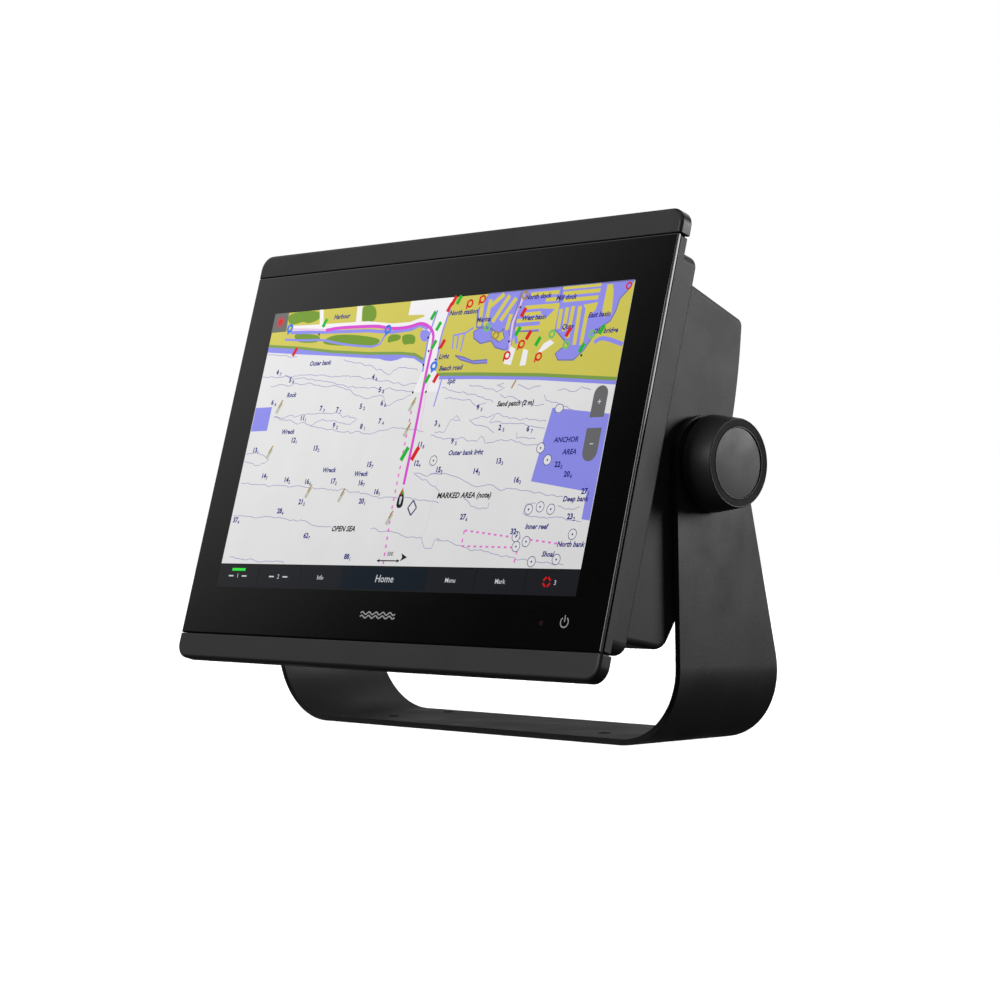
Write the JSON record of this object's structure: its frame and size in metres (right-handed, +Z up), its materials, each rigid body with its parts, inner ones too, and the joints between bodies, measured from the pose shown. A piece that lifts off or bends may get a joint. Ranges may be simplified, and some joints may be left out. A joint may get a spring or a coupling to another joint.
{
  "type": "chartplotter display",
  "caption": "Wide touch-screen chart display with clip-fitted trims and a finned rear housing, tilting in a bent-plate bail held by side clamp knobs",
  "frame": {"origin": "on the mounting surface, at the centre of the bracket's screw-hole pattern", "axes": "+X across the display, parallel to the clamp axis; +Y away from the viewer; +Z up from the mounting surface"},
  "size_m": [0.2708, 0.1171, 0.2096],
  "materials": {
    "bracket_paint": "satin black powder coat",
    "cover_glass": "polished, black-printed border",
    "black_adhesive": "soft black foam tape",
    "housing_paint": "fine textured dark grey powder coat",
    "trim_plastic": "fine spark-eroded texture",
    "lcd": "lit picture",
    "white_plastic": "moulded",
    "sheet_steel": "zinc plated",
    "sensor_lens": "dark tinted",
    "seal_rubber": "matt",
    "steel": "passivated stainless",
    "board": "solder mask",
    "bare_aluminium": "bare",
    "ceramic": "fired ceramic",
    "port_plastic": "glass-filled moulding",
    "brass": "machined",
    "cap_rubber": "matt",
    "knob_plastic": "fine texture",
    "knob_cap_plastic": "satin"
  },
  "bodies": {
    "bail": {"bail_bracket": "bracket_paint"},
    "display": {"cover_glass": "cover_glass", "glass_bond": "black_adhesive", "front_bezel": "housing_paint", "top_trim": "trim_plastic", "bottom_trim": "trim_plastic", "lcd_panel": "lcd", "backlight_unit": "white_plastic", "lcd_chassis": "sheet_steel", "light_sensor": "sensor_lens", "front_housing": "housing_paint", "housing_seal": "seal_rubber", "rear_housing": "housing_paint", "housing_screws": "steel", "main_board": "board", "board_posts": "sheet_steel", "board_screws": "steel", "processor_shield": "sheet_steel", "heat_spreader": "bare_aluminium", "power_board": "board", "satellite_antenna": "ceramic", "radio_module": "sheet_steel", "sounder_board": "board", "buzzer": "port_plastic", "vent_plug": "port_plastic", "port_pins": "brass", "power_port": "port_plastic", "network_port_a": "port_plastic", "network_port_b": "port_plastic", "sounder_port": "port_plastic", "instrument_port": "port_plastic", "video_port": "port_plastic", "power_port_cap": "cap_rubber", "network_port_cap_a": "cap_rubber", "network_port_cap_b": "cap_rubber", "sounder_port_cap": "cap_rubber", "instrument_port_cap": "cap_rubber", "video_port_cap": "cap_rubber", "friction_pad_left": "seal_rubber", "threaded_insert_left": "brass", "friction_pad_right": "seal_rubber", "threaded_insert_right": "brass"},
    "washer_left": {"thrust_washer_left": "steel"},
    "knob_left": {"knob_body_left": "knob_plastic", "knob_cap_left": "knob_cap_plastic", "knob_stud_left": "steel"},
    "washer_right": {"thrust_washer_right": "steel"},
    "knob_right": {"knob_body_right": "knob_plastic", "knob_cap_right": "knob_cap_plastic", "knob_stud_right": "steel"}
  },
  "joints": [
    {"name": "display_tilt", "type": "hinge", "parent": "bail", "child": "display", "pos_m": [0, -0.0168, 0.1113], "axis": [1, 0, 0], "range_deg": [-35, 20]},
    {"name": "clamp_travel_left", "type": "slide", "parent": "display", "child": "washer_left", "axis": [-1, 0, 0], "range_m": [0, 0.00187]},
    {"name": "knob_turn_left", "type": "hinge", "parent": "washer_left", "child": "knob_left", "pos_m": [0, -0.0168, 0.1113], "axis": [-1, 0, 0], "range_deg": [0, 540]},
    {"name": "clamp_travel_right", "type": "slide", "parent": "display", "child": "washer_right", "axis": [1, 0, 0], "range_m": [0, 0.00187]},
    {"name": "knob_turn_right", "type": "hinge", "parent": "washer_right", "child": "knob_right", "pos_m": [0, -0.0168, 0.1113], "axis": [1, 0, 0], "range_deg": [0, 540]}
  ],
  "couplings": [
    {"joint": "knob_turn_left", "follows": "clamp_travel_left", "rad_per_m": 5026.6},
    {"joint": "knob_turn_right", "follows": "clamp_travel_right", "rad_per_m": 5026.6}
  ]
}
